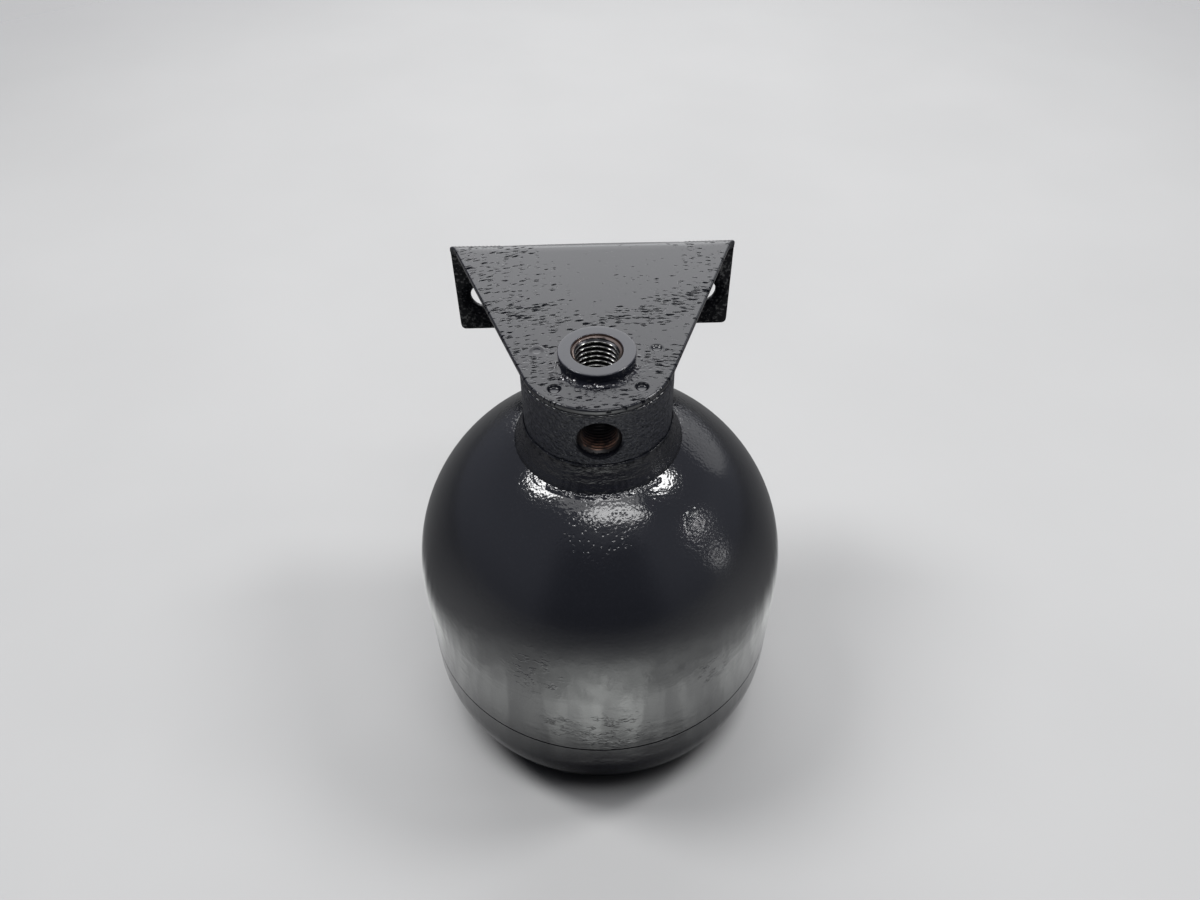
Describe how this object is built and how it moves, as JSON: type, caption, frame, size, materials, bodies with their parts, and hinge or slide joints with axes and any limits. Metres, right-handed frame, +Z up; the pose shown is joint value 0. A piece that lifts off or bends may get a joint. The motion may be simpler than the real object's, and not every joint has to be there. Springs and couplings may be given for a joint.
{
  "type": "suspension sphere",
  "caption": "Gas-charged suspension sphere with a tapering bolt-on bracket, a threaded port in the top boss and a threaded port in the side of its neck.",
  "frame": {"origin": "where the axis of the top port crosses the axis of the side port, inside the port block", "axes": "+Z up the axis of the sphere and out of the top port; -Y out of the side port; +Y towards the bolt flange of the bracket"},
  "size_m": [0.1054, 0.1074, 0.1387],
  "materials": {
    "black_paint": "gloss to satin black spray paint with orange peel, pits and runs",
    "rubber": "moulded matte rubber",
    "bare_steel": "turned steel"
  },
  "bodies": {
    "vessel": {"upper_shell": "black_paint", "lower_shell": "black_paint", "girth_weld": "black_paint", "port_block": "black_paint", "neck_weld_bead": "black_paint", "mounting_bracket": "black_paint", "projection_weld_front_left": "black_paint", "projection_weld_front_right": "black_paint", "projection_weld_rear_left": "black_paint", "projection_weld_rear_right": "black_paint", "diaphragm": "rubber", "diaphragm_clamp_ring": "bare_steel", "gas_fill_bush": "black_paint", "gas_fill_screw": "bare_steel", "fill_screw_seal": "rubber"},
    "button": {"closing_button": "bare_steel"}
  },
  "joints": [
    {"name": "button_travel", "type": "slide", "parent": "vessel", "child": "button", "axis": [0, 0, -1], "range_m": [0, 0.05], "stiffness_N_per_m": 200, "springref_m": -0.05, "deforming": ["diaphragm"]}
  ]
}
